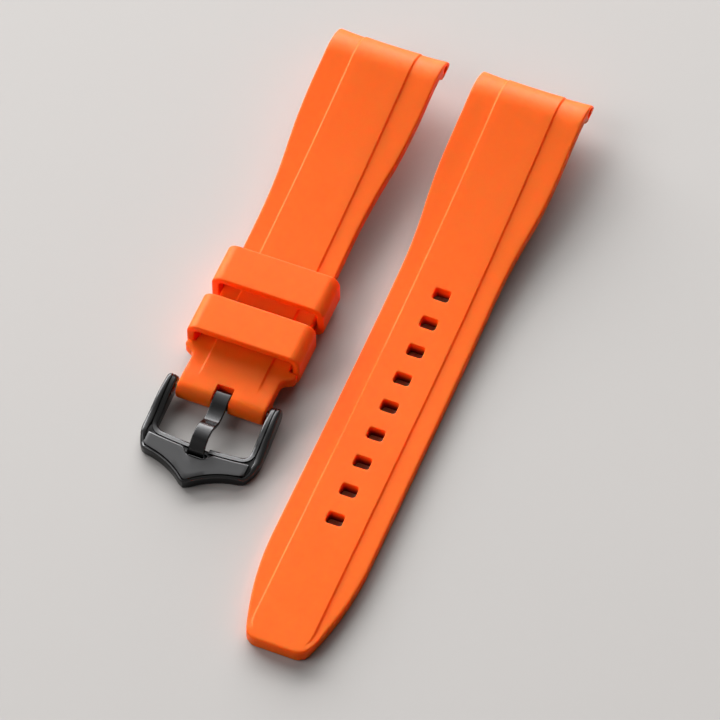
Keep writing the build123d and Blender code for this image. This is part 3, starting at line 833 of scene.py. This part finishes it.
def shield_plate():
    """The plate between the window's rim and the outline, recessed at the middle for the tongue."""
    point, heading = arc(POINT_START, 1, POINT_END)
    hollow = arc(POINT_END, heading, CHEEK[0], HOLLOW_POINTS)[0]
    front = [POINT_START] + point + hollow + [CHEEK[1]]
    edge = [point - normal * PLATE_INSET for point, normal in zip(front, normals(front))]

    def place(row, column, on_top):
        number = abs(column - len(PLATE_COLUMNS) + 1)
        side = 1 if column >= len(PLATE_COLUMNS) else -1
        x = PLATE_COLUMNS[number]
        inside, outside = PLATE_RECESS_HALF
        recess = PLATE_RECESS * eased((outside - x) / (outside - inside))
        back = PLATE_BACK + PLATE_BACK_BOW * x ** 2 - recess
        ahead = height_at(x, edge)
        inset, drop = PLATE_EDGE[min(row, len(PLATE_EDGE) - 1)]
        y = back - inset
        if row >= len(PLATE_EDGE):
            y += (ahead - y) * PLATE_ROWS[row - len(PLATE_EDGE)]
        height = PLATE_TOP - drop if on_top else PLATE_FOOT
        return Vector((SHORT_X + side * x, SHORT_Y - BAR.real + y, height)) * MM

    shape = sheet(len(PLATE_EDGE) + len(PLATE_ROWS), 2 * len(PLATE_COLUMNS) - 1, place)
    round_off(shape, PLATE_ROUND, PLATE_ROUND_SEGMENTS)
    return shape


def coating_material():
    """Satin black coating, brushed across on the faces that look up and glossier elsewhere."""
    made = material("black_coating")
    tree = made.node_tree
    place = node(tree, "ShaderNodeTexCoord", output="Object")
    facing = node(tree, "ShaderNodeTexCoord", output="Normal")
    upward = node(tree, "ShaderNodeSeparateXYZ", values={0: facing}, output="Z")
    flat = node(tree, "ShaderNodeMapRange", {"interpolation_type": "SMOOTHSTEP"}, {
        "Value": upward, "From Min": LEVEL_FROM, "From Max": LEVEL_TO})
    stretched = node(tree, "ShaderNodeMapping", values={"Vector": place, "Scale": BRUSHING})
    brushed = node(tree, "ShaderNodeTexNoise", values={"Vector": stretched, "Scale": 1.0, "Detail": 2.0})
    colour = node(tree, "ShaderNodeMix", {"data_type": "RGBA"}, {
        "Factor": flat * (brushed * BRUSHING_CONTRAST + BRUSHING_LIGHT), "A": COATING_DARK,
        "B": COATING_LIGHT}, output=2)
    bump = node(tree, "ShaderNodeBump", values={
        "Height": brushed * flat, "Strength": 0.4, "Distance": BRUSHING_DEPTH * MM})
    shader = node(tree, "ShaderNodeBsdfPrincipled", values={
        "Base Color": colour, "Metallic": 1.0, "Normal": bump,
        "Roughness": flat * LEVEL_DULLS + brushed * BRUSHING_DULLS + COATING_ROUGHNESS})
    return finish_material(made, shader)


coating = coating_material()
buckle = frame_band()
plate_mesh = bpy.data.meshes.new("shield_plate")
plate = shield_plate()
plate.to_mesh(plate_mesh)
plate.free()
buckle.from_mesh(plate_mesh)
finished(buckle, "buckle_frame_coated", coating, "buckle_frame", "buckle_metal", "buckle_frame",
         sharp=FACET_ANGLE)

# The buckle's tongue: a bent steel strip, curled round the spring bar, with the frame's coating. It
# keeps its CAD form, as a merged copy with smooth rounds.


def merged_copy(cad_node):
    """The CAD node's shape with its loose triangles joined."""
    shape = bmesh.new()
    shape.from_mesh(cad_node.data)
    bmesh.ops.transform(shape, matrix=cad_node.matrix_world, verts=shape.verts[:])
    bmesh.ops.remove_doubles(shape, verts=shape.verts[:], dist=MERGE_DISTANCE * MM)
    return shape


finished(merged_copy(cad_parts["buckle_tongue"]), "buckle_tongue_coated", coating, "buckle_tongue",
         "buckle_metal", "buckle_tongue", sharp=FACET_ANGLE)

# The spring bar in the short half's round end: a drawn steel tube, two turned pins, and the coil spring
# that pushes them apart, made in two halves that both ride on the short half.
STEEL_DARK = (0.42, 0.42, 0.41, 1)
STEEL_LIGHT = (0.55, 0.55, 0.54, 1)
STEEL_ROUGHNESS = 0.25
TURNING = (8000.0, 300.0, 300.0)
TURNING_DEPTH = 0.005
TURNING_DULLS = 0.15
WIRE = 0.18
WIRE_SIDES = 8
COIL_TURNS = 14
COIL_STEPS = 12


def steel_material():
    """Turned steel with faint rings and stains."""
    made = material("bar_steel")
    tree = made.node_tree
    place = node(tree, "ShaderNodeTexCoord", output="Object")
    rings = node(tree, "ShaderNodeMapping", values={"Vector": place, "Scale": TURNING})
    turned = node(tree, "ShaderNodeTexNoise", values={"Vector": rings, "Scale": 1.0, "Detail": 2.0})
    colour = node(tree, "ShaderNodeMix", {"data_type": "RGBA"}, {
        "Factor": turned, "A": STEEL_DARK, "B": STEEL_LIGHT}, output=2)
    bump = node(tree, "ShaderNodeBump", values={
        "Height": turned, "Strength": 0.3, "Distance": TURNING_DEPTH * MM})
    shader = node(tree, "ShaderNodeBsdfPrincipled", values={
        "Base Color": colour, "Roughness": turned * TURNING_DULLS + STEEL_ROUGHNESS,
        "Metallic": 1.0, "Normal": bump})
    return finish_material(made, shader)


def half_coil(middle, reach, radius, side):
    """The coil's wire from the spring's middle to one end, its cut ends closed."""
    shape = bmesh.new()
    wire_radius = WIRE / 2 * MM
    bmesh.ops.create_circle(shape, cap_ends=False, segments=WIRE_SIDES, radius=wire_radius)
    start = middle + Vector((side * wire_radius, radius - wire_radius, 0))
    bmesh.ops.translate(shape, vec=start, verts=shape.verts[:])
    steps = COIL_TURNS * COIL_STEPS
    pitch = Vector((side * (reach - 2 * wire_radius) / steps, 0, 0))
    bmesh.ops.spin(shape, geom=shape.edges[:], angle=2 * math.pi * COIL_TURNS, steps=steps,
                   axis=(1, 0, 0), cent=middle, dvec=pitch, use_duplicate=False)
    ends = [edge for edge in shape.edges if edge.is_boundary]
    bmesh.ops.holes_fill(shape, edges=ends, sides=WIRE_SIDES)
    bmesh.ops.recalc_face_normals(shape, faces=shape.faces[:])
    return shape


steel = steel_material()
lowest, highest = (Vector(corner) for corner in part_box("spring_bar_spring"))
middle = (lowest + highest) / 2
reach = highest.x - middle.x
for name, side in (("left", -1), ("right", 1)):
    coil = finished(half_coil(middle, reach, highest.y - middle.y, side), "spring_bar_coil_" + name,
                    steel, "buckle_half", "bar_steel", "spring_bar_spring")
    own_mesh(coil)
for name in ("spring_bar_tube", "spring_bar_plunger_left", "spring_bar_plunger_right"):
    bar_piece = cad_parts[name]
    bar_piece.data.materials.clear()
    bar_piece.data.materials.append(steel)
